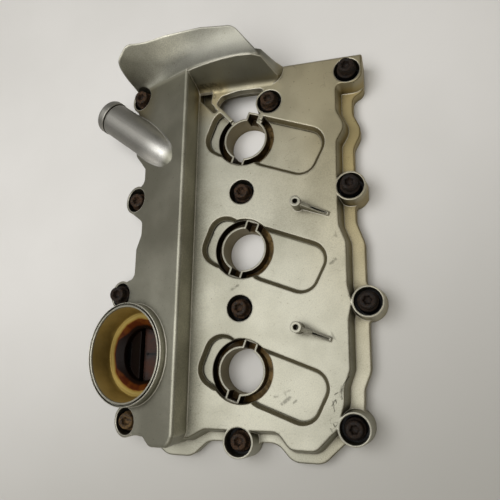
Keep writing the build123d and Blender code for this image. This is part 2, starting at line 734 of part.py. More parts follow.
# ---------------------------------------------------------------- bolts, grommets, sleeves
with BuildPart() as cover_bolts:
    for (bolt_x, bolt_y), top in zip(bolt_points(), bolt_tops):
        seat = top - bolt_head_height - bolt_flange_height
        with BuildSketch(Plane(origin=(bolt_x, bolt_y, 0), x_dir=(1, 0, 0), z_dir=(0, -1, 0))):
            with BuildLine():
                Polyline((0, top), (bolt_head_r - bolt_tip, top), (bolt_head_r, top - bolt_tip),
                         (bolt_head_r, seat + bolt_flange_height),
                         (bolt_flange_r, seat + bolt_flange_height - bolt_tip),
                         (bolt_flange_r, seat), (bolt_shank_r, seat),
                         (bolt_shank_r, seat - bolt_shank_length + bolt_tip),
                         (bolt_shank_r - bolt_tip, seat - bolt_shank_length),
                         (0, seat - bolt_shank_length), close=True)
            make_face()
        revolve(axis=Axis((bolt_x, bolt_y, 0), (0, 0, 1)))
        with BuildSketch(Plane(origin=(bolt_x, bolt_y, top), z_dir=(0, 0, 1))):
            RegularPolygon(socket_r, socket_sides)
        extrude(amount=-socket_depth, mode=Mode.SUBTRACT)
with BuildPart() as bolt_grommets:
    for (bolt_x, bolt_y), top in zip(bolt_points(), bolt_tops):
        seat = top - bolt_head_height - bolt_flange_height
        with BuildSketch(Plane(origin=(bolt_x, bolt_y, 0), x_dir=(1, 0, 0), z_dir=(0, -1, 0))):
            with BuildLine():
                Polyline((sleeve_r + fit_gap, grommet_foot_z),
                         (grommet_hole_r - fit_gap, grommet_foot_z),
                         (grommet_hole_r - fit_gap, counterbore_floor_z),
                         (grommet_flange_r, counterbore_floor_z),
                         (grommet_flange_r, counterbore_floor_z + grommet_flange_height),
                         (grommet_collar_r + 1, counterbore_floor_z + grommet_flange_height),
                         (grommet_collar_r, seat), (sleeve_r + fit_gap, seat), close=True)
            make_face()
        revolve(axis=Axis((bolt_x, bolt_y, 0), (0, 0, 1)))
with BuildPart() as bolt_sleeves:
    for (bolt_x, bolt_y), top in zip(bolt_points(), bolt_tops):
        seat = top - bolt_head_height - bolt_flange_height
        with BuildSketch(Plane.XY.offset(sleeve_foot_z)):
            with Locations((bolt_x, bolt_y)):
                Circle(sleeve_r)
                Circle(sleeve_bore_r, mode=Mode.SUBTRACT)
        extrude(amount=seat - sleeve_foot_z)

# ---------------------------------------------------------------- export
os.makedirs("parts", exist_ok=True)
cover_casting.part.label = "cover_casting"
export_step(cover_casting.part, "parts/cover_casting.step")
perimeter_gasket.part.label = "perimeter_gasket"
export_step(perimeter_gasket.part, "parts/perimeter_gasket.step")
well_seal_1 = well_seal(well_ys[0])
well_seal_1.label = "well_seal_1"
export_step(well_seal_1, "parts/well_seal_1.step")
well_seal_2 = well_seal(well_ys[1])
well_seal_2.label = "well_seal_2"
export_step(well_seal_2, "parts/well_seal_2.step")
well_seal_3 = well_seal(well_ys[2])
well_seal_3.label = "well_seal_3"
export_step(well_seal_3, "parts/well_seal_3.step")
baffle_plate.part.label = "baffle_plate"
export_step(baffle_plate.part, "parts/baffle_plate.step")
baffle_screws.part.label = "baffle_screws"
export_step(baffle_screws.part, "parts/baffle_screws.step")
cover_bolts.part.label = "cover_bolts"
export_step(cover_bolts.part, "parts/cover_bolts.step")
bolt_grommets.part.label = "bolt_grommets"
export_step(bolt_grommets.part, "parts/bolt_grommets.step")
bolt_sleeves.part.label = "bolt_sleeves"
export_step(bolt_sleeves.part, "parts/bolt_sleeves.step")
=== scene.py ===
import math

import bmesh
import bpy
from mathutils import Matrix, Vector


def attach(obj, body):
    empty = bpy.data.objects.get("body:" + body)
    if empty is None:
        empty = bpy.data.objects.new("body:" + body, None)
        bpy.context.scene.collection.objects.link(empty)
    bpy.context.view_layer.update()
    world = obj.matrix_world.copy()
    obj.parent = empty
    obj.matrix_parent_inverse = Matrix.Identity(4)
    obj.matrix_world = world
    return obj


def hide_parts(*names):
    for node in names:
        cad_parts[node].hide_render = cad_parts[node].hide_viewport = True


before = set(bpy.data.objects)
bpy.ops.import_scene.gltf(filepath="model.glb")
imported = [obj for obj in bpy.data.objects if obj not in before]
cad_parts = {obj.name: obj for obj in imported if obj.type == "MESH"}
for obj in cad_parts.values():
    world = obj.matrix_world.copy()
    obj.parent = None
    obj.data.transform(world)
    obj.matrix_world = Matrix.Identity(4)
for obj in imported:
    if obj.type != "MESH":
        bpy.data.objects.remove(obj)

bl_info = {
    "name": "Valve Cover",
    "version": (1, 0, 0),
    "blender": (4, 5, 0),
    "location": "View3D > Sidebar > Valve Cover",
    "description": "Dresses a cast engine valve cover with its metal, rubber, bolts and stage",
    "category": "Object",
}

MM = 0.001
BODY = "root"

# centres of the twelve bolts: x, y and top of the head, in mm
BOLT_PLACES = [
    (81.4, 136.1, 30.0), (81.4, 42.7, 30.5), (90.9, -41.8, 29.0), (79.2, -126.0, 24.0),
    (20.1, 118.6, 28.0), (-1.5, 45.0, 24.5), (-1.5, -45.0, 24.5), (-1.2, -138.2, 21.0),
    (-91.0, 135.5, 28.5), (-91.0, 44.5, 25.0), (-101.5, -33.0, 28.0), (-88.0, -127.6, 25.5)]
# distance between the coil wells, in mm
WELL_PITCH = 90
# centre of the oil cup's rim, in mm, and the lean of its axis
FILLER_CENTRE = (-87.4, -79.0, 37.0)
FILLER_TILT = math.radians(17)
# a point on the breather pipe's axis, in mm, and the pipe's heading on the plan
PIPE_START = (-90.0, 100.2, 27.0)
PIPE_ANGLE = math.radians(143.5)

# painted strokes: start x, y and end x, y in mm, and where it differs the half width
# middle line of the baffle's slot
BAFFLE_SLOT = (-84.0, -78.5, -64.0, -78.5)
# painted shade on the board below the filler, a black spot
SHADE_SPOT = (-100.2, -71.0, -100.2, -85.0)
# the bolt with the palest rust
RUSTY_BOLTS = [(-88.0, -127.6, -88.0, -127.0)]
# dark scratches on the deck
SCRATCHES = [
    (66.5, -104.5, 69.0, -102.8), (64.7, -111.3, 67.3, -107.7), (67.3, -107.7, 67.7, -109.6),
    (65.6, -108.6, 66.3, -114.9), (73.8, -95.8, 76.8, -92.1), (70.3, -102.7, 73.8, -95.8),
    (71.5, -107.1, 71.6, -100.3), (65.7, -122.9, 66.5, -124.8), (66.5, -124.8, 67.7, -123.9),
    (63.5, -126.1, 64.7, -128.0), (66.0, -14.5, 67.5, -12.5)]
# soft smudges on the deck
SMUDGES = [
    (29.5, -111.8, 35.3, -107.5, 1.8), (37.9, -111.1, 39.6, -109.4, 1.2),
    (24.0, -107.5, 27.0, -106.5, 1.2), (-8.0, -31.0, -3.0, -28.0, 1.5),
    (66.0, -14.5, 69.5, -11.5, 1.8), (70.8, -105.0, 72.0, -99.0, 1.6),
    (-31.0, 137.5, -21.0, 135.0, 3.4), (-30.0, 136.0, -26.0, 129.0, 2.6),
    (-38.0, 139.0, -31.0, 136.0, 2.4)]

# oil baked in the cup, its black rings in the throat partly painted shade: the radii that its rings
# lie between, in mm, and each ring's share of the way from the throat to the rim, with its tone
CUP_FROM, CUP_TO = 18, 36
CUP_RINGS = [
    (0.3, "#0f0603"), (0.42, "#170904"), (0.47, "#4f2408"), (0.51, "#6a5024"), (0.56, "#7b6a36"),
    (0.64, "#887644"), (0.68, "#776536"), (0.72, "#83713e"), (0.78, "#6c592c"), (0.88, "#8a7440")]

# borders of the finish's zones, in mm: where a zone starts to fade in and where it is full
VISOR_FOOT_Y, VISOR_TIP_X, VISOR_LOW_Z = (141.5, 145), (30, 18), (24, 31)
POCKET_WALL_Z = (22.6, 22.2)
DECK_LOW_Z, DECK_HIGH_Z = (12, 14), (31, 29)
MOAT_RADIUS, MOAT_TOP_Z, PAST_TUBE_RADIUS = (23.6, 22.7), (18.8, 17.6), (16.0, 16.9)
CUP_RADIUS, CUP_DEPTH = (36.0, 35.2), (0.6, 2.2)
BELOW_CUP_RADIUS, BELOW_CUP_DEPTH = (26.5, 27), (17.5, 18.5)
PIPE_RADIUS, PIPE_ROOT = (15.2, 14.6), (-44, -36)
# middle of the ridge's inner wall and of the groove behind the pipe's bead, in mm
RIDGE_WALL_X = -40
PIPE_GROOVE = 29.9

# soft lamps: name, place and width in metres, and the setting that holds the power
LAMPS = (("overhead", (-0.12, -0.1, 0.95), 1.0, "lamp_power"),
         ("upper_left", (-0.55, 0.12, 1.0), 0.6, "fill_power"))
BOARD_HALF = 3.0
CAMERA_LENS = 36.08
CAMERA_SENSOR = 36.0
CAMERA_NEAR = 0.01
CAMERA_PLACE = (0.1121, -0.08322, 0.37319)
CAMERA_RIGHT = (0.95802, 0.01293, -0.28642)
CAMERA_DOWN = (-0.05011, -0.97606, -0.21166)
CAMERA_AHEAD = (-0.28230, 0.21713, -0.93443)


# ---------------------------------------------------------------- small helpers
def linear(hex_text):
    """Turns an sRGB hex colour into the linear colour that a shader takes."""
    parts = [int(hex_text[i:i + 2], 16) / 255 for i in (1, 3, 5)]
    return tuple(p / 12.92 if p <= 0.04045 else ((p + 0.055) / 1.055) ** 2.4 for p in parts) + (1,)


def node(tree, kind, settings=None, **inputs):
    """Adds a node, sets its settings, and fills or links its inputs by name or number."""
    made = tree.nodes.new(kind)
    for key, value in (settings or {}).items():
        setattr(made, key, value)
    for key, value in inputs.items():
        by_number = key[0] == "i" and key[1:].isdigit()
        socket = made.inputs[int(key[1:])] if by_number else made.inputs[key.replace("_", " ")]
        if isinstance(value, bpy.types.NodeSocket):
            tree.links.new(value, socket)
        else:
            socket.default_value = value
    return made


def new_material(name):
    """Empty material with its tree and its shader linked to the output."""
    material = bpy.data.materials.new(name)
    material.use_nodes = True
    tree = material.node_tree
    tree.nodes.clear()
    shader = tree.nodes.new("ShaderNodeBsdfPrincipled")
    output = tree.nodes.new("ShaderNodeOutputMaterial")
    tree.links.new(shader.outputs["BSDF"], output.inputs["Surface"])
    return material, tree, shader


def finish_shader(tree, shader, colour, rough, bump):
    """Links a material's colour, roughness and fine relief to its shader."""
    tree.links.new(colour, shader.inputs["Base Color"])
    tree.links.new(rough, shader.inputs["Roughness"])
    tree.links.new(bump.outputs[0], shader.inputs["Normal"])


def both(tree, first, *others):
    """Share where all of some shares meet: their product."""
    for other in others:
        made = node(tree, "ShaderNodeMath", {"operation": "MULTIPLY"}, i0=first, i1=other)
        first = made.outputs[0]
    return first


def either(tree, first, *others):
    """Share where any of some shares is: the largest of them."""
    for other in others:
        made = node(tree, "ShaderNodeMath", {"operation": "MAXIMUM"}, i0=first, i1=other)
        first = made.outputs[0]
    return first


def outside(tree, share):
    """What a share leaves of the whole."""
    return node(tree, "ShaderNodeMath", {"operation": "SUBTRACT"}, i0=1.0, i1=share).outputs[0]


def away(tree, value, middle):
    """How far a value lies from a middle value."""
    gap = node(tree, "ShaderNodeMath", {"operation": "SUBTRACT"}, i0=value, i1=middle)
    return node(tree, "ShaderNodeMath", {"operation": "ABSOLUTE"}, i0=gap.outputs[0]).outputs[0]


def off_axis(tree, first, second):
    """Distance from an axis, from the places along two square ways beside it."""
    squares = node(tree, "ShaderNodeMath", {"operation": "ADD"},
                   i0=both(tree, first, first), i1=both(tree, second, second))
    return node(tree, "ShaderNodeMath", {"operation": "SQRT"}, i0=squares.outputs[0]).outputs[0]


def paint(tree, share, under, tone):
    """Lays a tone over what is under it, where the share says."""
    made = node(tree, "ShaderNodeMix", {"data_type": "RGBA", "blend_type": "MIX"},
                i0=share, i6=under, i7=tone)
    return made.outputs[2]


def glaze(tree, share, under, tone):
    """Tints what is under a thin film, where the share says."""
    made = node(tree, "ShaderNodeMix", {"data_type": "RGBA", "blend_type": "MULTIPLY"},
                i0=share, i6=under, i7=tone)
    return made.outputs[2]


def step(tree, value, low, high, to_low=0.0, to_high=1.0):
    """Smooth rise of a value between two marks."""
    made = node(tree, "ShaderNodeMapRange", {"interpolation_type": "SMOOTHSTEP"},
                i0=value, i1=low, i2=high, i3=to_low, i4=to_high)
    return made.outputs[0]


def fade(tree, length, start_mm, end_mm, to_low=0.0, to_high=1.0):
    """Smooth rise as a length passes from one mark to the other, both in mm."""
    return step(tree, length, start_mm * MM, end_mm * MM, to_low, to_high)


def grain(tree, coords, size_mm, detail=2.0, roughness=0.5):
    """Noise whose grains are about size_mm across."""
    made = node(tree, "ShaderNodeTexNoise", None, Vector=coords, Scale=1 / (size_mm * MM),
                Detail=detail, Roughness=roughness)
    return made.outputs["Fac"]


def wavering(tree, place, length, size_mm, detail, sway_mm):
    """A length that wavers by chance, in waves about size_mm long."""
    chance = node(tree, "ShaderNodeMath", {"operation": "SUBTRACT"},
                  i0=grain(tree, place, size_mm, detail), i1=0.5)
    return node(tree, "ShaderNodeMath", {"operation": "MULTIPLY_ADD"},
                i0=chance.outputs[0], i1=sway_mm * MM, i2=length).outputs[0]


def glitter(tree, fine):
    """Each fine grain a little paler or darker than the next."""
    return step(tree, fine, 0.3, 0.7, 0.8, 1.2)


def flattened(tree, place):
    """A place on the plan, without its height."""
    made = node(tree, "ShaderNodeVectorMath", {"operation": "MULTIPLY"}, i0=place, i1=(1, 1, 0))
    return made.outputs[0]


def along_way(tree, place, way):
    """How far a place lies along a way."""
    made = node(tree, "ShaderNodeVectorMath", {"operation": "DOT_PRODUCT"}, i0=place, i1=way)
    return made.outputs["Value"]


def seen_from(tree, place, start):
    """A place as seen from a starting point."""
    made = node(tree, "ShaderNodeVectorMath", {"operation": "SUBTRACT"}, i0=place, i1=start)
    return made.outputs[0]


def marks(tree, flat, strokes, width_mm):
    """Share from 0 to 1 of the nearest of some straight strokes on the flat x, y place."""
    share = 0.0
    for stroke in strokes:
        start, end = Vector(stroke[:2] + (0,)) * MM, Vector(stroke[2:4] + (0,)) * MM
        width = (stroke[4] if len(stroke) > 4 else width_mm) * MM
        run = end - start
        gone = seen_from(tree, flat, start)
        along = node(tree, "ShaderNodeClamp", None,
                     i0=along_way(tree, gone, run / run.length_squared)).outputs[0]
        foot = node(tree, "ShaderNodeVectorMath", {"operation": "SCALE"}, i0=run, Scale=along)
        gap = node(tree, "ShaderNodeVectorMath", {"operation": "DISTANCE"},
                   i0=gone, i1=foot.outputs[0])
        share = either(tree, step(tree, gap.outputs["Value"], width, width * 0.2), share)
    return share


def dress(name, material):
    """Puts a material on every slot of a frame node."""
    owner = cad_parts[name]
    owner.data.materials.clear()
    owner.data.materials.append(material)


def finish_piece(piece, material):
    """Hands a made piece to the body with its material."""
    piece.data.materials.clear()
    piece.data.materials.append(material)
    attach(piece, BODY)


# ---------------------------------------------------------------- finish of the casting
class Ground:
    """Places, facings, grains and the visor's zone, which the layers of the finish share."""

    def __init__(self, tree):
        self.tree = tree
        self.place = node(tree, "ShaderNodeTexCoord").outputs["Object"]
        self.flat = flattened(tree, self.place)
        self.x, self.y, self.z = node(tree, "ShaderNodeSeparateXYZ", None, i0=self.place).outputs
        geometry = node(tree, "ShaderNodeNewGeometry").outputs
        self.facet, self.facing = geometry["True Normal"], geometry["Normal"]
        lean = node(tree, "ShaderNodeSeparateXYZ", None, i0=self.facet).outputs
        self.facet_x, self.facet_z = lean[0], lean[2]
        # blasted grain is near 0.3 mm on the real one and is drawn 0.9 mm so that it shows
        self.fine = grain(tree, self.place, 0.9, 3, 0.6)
        self.speck = grain(tree, self.place, 2.6, 2)
        self.visor = both(tree, fade(tree, self.y, *VISOR_FOOT_Y),
                          fade(tree, self.x, *VISOR_TIP_X), fade(tree, self.z, *VISOR_LOW_Z))


def blasted_skin(ground, cast):
    """Cloudy skin whose open grain glitters, with small casting pits."""
    tree, x, y = ground.tree, ground.x, ground.y
    # broad cloudiness of the casting skin, patches about 40 mm across
    cloud = step(tree, grain(tree, ground.place, 40, 3), 0.35, 0.68)
    skin = paint(tree, cloud, linear(cast.skin_dark), linear(cast.skin_light))
    # the grain is open on the deck and the visor, and closed on the ridge and the far end
    deck = both(tree, fade(tree, y, 120, 20, 0.25, 1.0), fade(tree, x, -48, -38, 0.4, 1.0))
    open_grain = either(tree, deck, both(tree, ground.visor, 0.75))
    skin = glaze(tree, open_grain, skin, glitter(tree, ground.fine))
    pits = step(tree, grain(tree, ground.place, 1.6, 1), 0.2, 0.3, 0.55, 0.0)
    return paint(tree, pits, skin, linear("#625d4c"))


def golden_film(ground, skin):
    """Thin golden oil film, thicker toward the far right, on the beam and on the low ledge."""
    tree, x, y, z = ground.tree, ground.x, ground.y, ground.z
    slant = node(tree, "ShaderNodeMath", {"operation": "MULTIPLY_ADD"}, i0=y, i1=0.6, i2=x)
    far_right = fade(tree, slant.outputs[0], 10, 150, 0.0, 0.55)
    beam = both(tree, fade(tree, y, 100, 128), fade(tree, x, -6, -20), fade(tree, y, 144, 139))
    upper = both(tree, either(tree, far_right, both(tree, beam, 0.7)), fade(tree, z, 34, 24))
    ledge = both(tree, fade(tree, z, 19, 12), fade(tree, x, 40, 66))
    ledge = both(tree, ledge, fade(tree, y, -90, 110, 0.15, 0.6))
    film = node(tree, "ShaderNodeMath", {"operation": "ADD"}, i0=upper, i1=ledge)
    gold = paint(tree, film.outputs[0], linear("#ffffff"), linear("#ffecc0"))
    return glaze(tree, 1.0, skin, gold)


def wall_and_side_shade(ground, skin):
    """Painted shade on the pockets' sloped walls and on the left-facing side, darkest near the
    pipe.
    """
    tree, x, y = ground.tree, ground.x, ground.y
    # painted shade on the pockets' sloped walls
    sloped_wall_shade = both(tree, step(tree, ground.facet_z, 0.86, 0.74), step(tree, ground.facet_z, 0.3, 0.5))
    sloped_wall_shade = both(tree, sloped_wall_shade, fade(tree, ground.z, *POCKET_WALL_Z))
    skin = glaze(tree, both(tree, sloped_wall_shade, 0.9), skin, linear("#c4bba4"))
    # painted shade on the left-facing side, strongest toward the pipe
    side = both(tree, step(tree, ground.facet_x, -0.3, -0.36), fade(tree, x, -38, -42),
                fade(tree, y, 142, 139))
    film = either(tree, fade(tree, y, -40, 15), fade(tree, y, -80, -130, 0.0, 0.4))
    return glaze(tree, both(tree, side, film), skin, linear("#d6d5d2"))


def visor_painted_light(ground, skin):
    """Painted highlight along the visor's upper edge and painted shade in its fold, a painted
    highlight on the ridge wall, and a slightly cooler tint on the visor.
    """
    tree, x, y = ground.tree, ground.x, ground.y
    # painted highlight on the visor's upper part
    painted_upper_light = both(tree, either(tree, fade(tree, y, 151, 158), fade(tree, x, -60, -75, 0.0, 0.4)),
                 both(tree, fade(tree, x, -24, -54, 0.0, 1.25), fade(tree, x, -55, -80, 1.0, 0.45)))
    # painted shade in the visor's fold
    fold_shade = both(tree, fade(tree, y, 160, 148, 0.0, 0.42), fade(tree, x, -72, -36))
    tone = node(tree, "ShaderNodeMath", {"operation": "SUBTRACT"}, i0=painted_upper_light, i1=fold_shade)
    tone = both(tree, tone.outputs[0], ground.visor)
    # painted highlight on the ridge wall
    ridge_highlight = both(tree, step(tree, ground.facet_x, 0.9, 0.95),
                 fade(tree, away(tree, x, RIDGE_WALL_X * MM), 1.5, 1))
    tone = node(tree, "ShaderNodeMath", {"operation": "ADD"}, i0=tone, i1=1.0)
    tone = node(tree, "ShaderNodeMath", {"operation": "MULTIPLY_ADD"},
                i0=ridge_highlight, i1=0.5, i2=tone.outputs[0])
    skin = glaze(tree, 1.0, skin, tone.outputs[0])
    return glaze(tree, both(tree, ground.visor, 0.5), skin, linear("#f4f6ff"))


def handling_marks(ground, cast, skin):
    """Handling marks on the deck: faint hairlines, small holes, smudges and dark scratches."""
    tree, place = ground.tree, ground.place
    # strokes are drawn on a place that wanders by up to 0.8 mm, which makes them ragged
    wander = 0.8 * MM
    warp = node(tree, "ShaderNodeTexNoise", None, Vector=ground.flat, Scale=1 / (2.5 * MM),
                Detail=2.0)
    shift = node(tree, "ShaderNodeVectorMath", {"operation": "MULTIPLY_ADD"},
                 i0=warp.outputs["Color"], i1=(2 * wander, 2 * wander, 0), i2=ground.flat)
    ragged = seen_from(tree, shift.outputs[0], (wander, wander, 0))
    line = node(tree, "ShaderNodeTexNoise", None, Vector=place, Scale=1 / (22 * MM), Detail=1.0,
                Distortion=1.5).outputs["Fac"]
    hair = both(tree, step(tree, away(tree, line, 0.5), 0.006, 0.0),
                step(tree, grain(tree, place, 15, 2), 0.5, 0.62, 0.0, 0.35))
    smudge = both(tree, marks(tree, ragged, SMUDGES, 1.5),
                  step(tree, ground.speck, 0.35, 0.55, 0.1, 0.5))
    scratch = both(tree, marks(tree, ragged, SCRATCHES, 0.55),
                   step(tree, ground.fine, 0.35, 0.55, 0.3, 0.85))
    cells = node(tree, "ShaderNodeTexVoronoi", None, Vector=place, Scale=1 / (9 * MM)).outputs
    hole = both(tree, step(tree, cells["Distance"], 0.05, 0.03),
                step(tree, cells["Color"], 0.5, 0.6, 0.0, 0.8))
    worn = either(tree, either(tree, hair, smudge), either(tree, scratch, hole))
    on_deck = both(tree, fade(tree, ground.z, *DECK_LOW_Z), fade(tree, ground.z, *DECK_HIGH_Z))
    return paint(tree, both(tree, worn, on_deck), skin, linear(cast.scratch))


def corner_shade_and_grime(ground, cast, skin):
    """Painted shade in the corners that occlusion finds, together with brown oil film that rags do
    not reach.
    """
    tree = ground.tree
    near = node(tree, "ShaderNodeAmbientOcclusion", {"samples": 8}, Distance=10 * MM)
    # painted shade and oil grime: darker where nearby surfaces close in
    shade_and_dirt = both(tree, step(tree, near.outputs["AO"], 0.8, 0.3, 0.0, 1.0),
                step(tree, ground.speck, 0.2, 0.7, 0.55, 0.9))
    return paint(tree, shade_and_dirt, skin, linear(cast.shade_and_grime))


def well_varnish(ground, cast, skin):
    """Varnish-brown moats round each tube and a film down each bore; gives the skin and the
    stain."""
    tree, place, x = ground.tree, ground.place, ground.x
    near_y = node(tree, "ShaderNodeMath", {"operation": "WRAP"}, i0=ground.y,
                  i1=WELL_PITCH / 2 * MM, i2=-WELL_PITCH / 2 * MM)
    radius = off_axis(tree, x, near_y.outputs[0])
    moat = both(tree, fade(tree, radius, *MOAT_RADIUS), fade(tree, ground.z, *MOAT_TOP_Z))
    stain = both(tree, moat, step(tree, grain(tree, place, 7, 4), 0.25, 0.6, 0.8, 1.0))
    worn_side = both(tree, fade(tree, x, -2, 20),
                     step(tree, grain(tree, place, 5, 4), 0.38, 0.62, 0.25, 1.0))
    varnish = paint(tree, worn_side, linear(cast.varnish), linear("#7a6440"))
    past_tube = fade(tree, radius, *PAST_TUBE_RADIUS)
    skin = paint(tree, both(tree, stain, past_tube), skin, varnish)
    bore = both(tree, stain, outside(tree, past_tube))
    return paint(tree, both(tree, bore, 0.7), skin, linear("#7a6a45")), stain


def cup_oil(ground, cast, skin):
    """Oil baked in the cup, from black in the throat, partly painted shade, to olive at the rim,
    with painted light on the throat's two ends; gives the skin, the share inside the cup and the
    distance from its axis."""
    tree, place = ground.tree, ground.place
    # places in the cup's own axes: beside its axis and down from its rim
    cup = node(tree, "ShaderNodeMapping", {"vector_type": "TEXTURE"}, Vector=place,
               Location=[v * MM for v in FILLER_CENTRE], Rotation=(0, -FILLER_TILT, 0))
    beside, ahead, up = node(tree, "ShaderNodeSeparateXYZ", None, i0=cup.outputs[0]).outputs
    radius = off_axis(tree, beside, ahead)
    depth = node(tree, "ShaderNodeMath", {"operation": "MULTIPLY"}, i0=up, i1=-1.0).outputs[0]
    inside = both(tree, fade(tree, radius, *CUP_RADIUS), fade(tree, depth, *CUP_DEPTH))
    # outer walls below the cup face away from its axis and stay bare
    centre = (FILLER_CENTRE[0] * MM, FILLER_CENTRE[1] * MM, 0)
    outward = along_way(tree, seen_from(tree, ground.flat, centre), ground.facet)
    outward = node(tree, "ShaderNodeMath", {"operation": "DIVIDE"}, i0=outward, i1=radius)
    inside = both(tree, inside, step(tree, outward.outputs[0], 0.5, 0.4))
    below = both(tree, fade(tree, radius, *BELOW_CUP_RADIUS),
                 fade(tree, depth, *BELOW_CUP_DEPTH))
    inside = both(tree, inside, outside(tree, below))
    # the rings of oil waver a little
    streak = wavering(tree, place, radius, 14, 4, 4)
    share = node(tree, "ShaderNodeMapRange", None, i0=streak, i1=CUP_FROM * MM, i2=CUP_TO * MM)
    oil = node(tree, "ShaderNodeValToRGB", None, Fac=share.outputs[0])
    ramp = oil.color_ramp
    ramp.elements[0].color = linear("#0d0603")
    ramp.elements[1].position = 1.0
    ramp.elements[1].color = linear(cast.oil_light)
    for position, colour in CUP_RINGS:
        ramp.elements.new(position).color = linear(colour)
    # painted light: the amber reaches further in at the two lit ends of the throat
    off_middle = node(tree, "ShaderNodeMath", {"operation": "ABSOLUTE"}, i0=ahead).outputs[0]
    lit_ends = fade(tree, off_middle, 8, 17, 26.8 * MM, 22.2 * MM)
    wave = wavering(tree, place, radius, 9, 3, 2.5)
    past = node(tree, "ShaderNodeMath", {"operation": "SUBTRACT"}, i0=wave, i1=lit_ends).outputs[0]
    amber = both(tree, fade(tree, wave, 27.2, 26.4), fade(tree, past, -0.4, 1.4))
    burnt = step(tree, grain(tree, place, 6, 2), 0.4, 0.65)
    burnt = paint(tree, burnt, linear("#351404"), linear("#452206"))
    oil_and_painted_light = paint(tree, amber, oil.outputs["Color"], burnt)
    # painted light: the oil is brightened toward the two lit ends of the throat, and the middle
    # stays dark as painted shade
    oil_and_painted_light = glaze(tree, 1.0, oil_and_painted_light, fade(tree, off_middle, 5, 26, 1.0, 1.7))
    return paint(tree, inside, skin, oil_and_painted_light), inside, radius


def turned_pipe(ground, cast, skin):
    """Turned breather pipe, smoother and greyer than the skin, with a painted highlight at its
    root; gives the skin, the change of roughness and the groove's painted shade."""
    tree = ground.tree
    run = Vector((math.cos(PIPE_ANGLE), math.sin(PIPE_ANGLE), 0))
    gone = seen_from(tree, ground.place, Vector(PIPE_START) * MM)
    beside = node(tree, "ShaderNodeVectorMath", {"operation": "CROSS_PRODUCT"}, i0=gone, i1=run)
    beside = node(tree, "ShaderNodeVectorMath", {"operation": "LENGTH"}, i0=beside.outputs[0])
    along = along_way(tree, gone, run)
    pipe = both(tree, fade(tree, beside.outputs["Value"], *PIPE_RADIUS),
                fade(tree, along, *PIPE_ROOT))
    # painted highlight: it is paler at its root, on the side toward the ridge
    root = both(tree, fade(tree, along, -8, -34), fade(tree, ground.y, 94, 76))
    grey = paint(tree, root, linear(cast.pipe), linear("#eceae4"))
    grey = glaze(tree, 0.6, grey, glitter(tree, ground.fine))
    skin = paint(tree, both(tree, pipe, 0.8), skin, grey)
    # painted shade: a dark line in the groove behind its bead
    groove_shade = both(tree, fade(tree, away(tree, along, PIPE_GROOVE * MM), 0.9, 0.5), pipe)
    skin = paint(tree, both(tree, groove_shade, 0.85), skin, linear("#1d1b16"))
    return skin, both(tree, pipe, fade(tree, along, -10, -34, 0.02, -0.12)), groove_shade


# ---------------------------------------------------------------- materials
def cast_aluminium(cast):
    """Sand-blasted cast aluminium: pale warm grey, satin, with a fine open grain, brown in the
    cup."""
    material, tree, shader = new_material("blasted_cast_aluminium")
    ground = Ground(tree)
    skin = blasted_skin(ground, cast)
    skin = golden_film(ground, skin)
    skin = wall_and_side_shade(ground, skin)
    skin = visor_painted_light(ground, skin)
    skin = handling_marks(ground, cast, skin)
    skin = corner_shade_and_grime(ground, cast, skin)
    skin, stain = well_varnish(ground, cast, skin)
    skin, inside, radius = cup_oil(ground, cast, skin)
    skin, turned, groove_shade = turned_pipe(ground, cast, skin)
    # edges are painted bright, partly rubbed wear and partly painted highlight, but not in the
    # moats, the groove, the cup and much of the visor
    rounded = node(tree, "ShaderNodeBevel", {"samples": 8}, Radius=1.6 * MM).outputs[0]
    bend = along_way(tree, rounded, ground.facing)
    sheltered = either(tree, either(tree, stain, groove_shade), both(tree, ground.visor, 0.7))
    rubbed_and_highlit = both(tree, step(tree, bend, 0.99, 0.88, 0.0, 0.66), outside(tree, sheltered))
    skin = paint(tree, both(tree, rubbed_and_highlit, outside(tree, inside)), skin, linear("#e4e0d2"))
    # the cup and the pipe are smoother than the rest
    smooth = node(tree, "ShaderNodeMath", {"operation": "MULTIPLY_ADD"},
                  i0=inside, i1=-0.12, i2=turned).outputs[0]
    rough = node(tree, "ShaderNodeMath", {"operation": "ADD"},
                 i0=step(tree, ground.fine, 0.3, 0.7, 0.50, 0.62), i1=smooth).outputs[0]
    bump = node(tree, "ShaderNodeBump", None, Strength=0.35, Distance=0.12 * MM,
                Height=ground.fine, Normal=rounded)
    # baked oil hides the metal, most of all in the throat
    oily = both(tree, inside, fade(tree, radius, 28, 25, 0.5, 0.85))
    bare = outside(tree, either(tree, oily, both(tree, stain, 0.2)))
    tree.links.new(bare, shader.inputs["Metallic"])
    shader.inputs["Specular IOR Level"].default_value = 0.08
    finish_shader(tree, shader, skin, rough, bump)
    return material


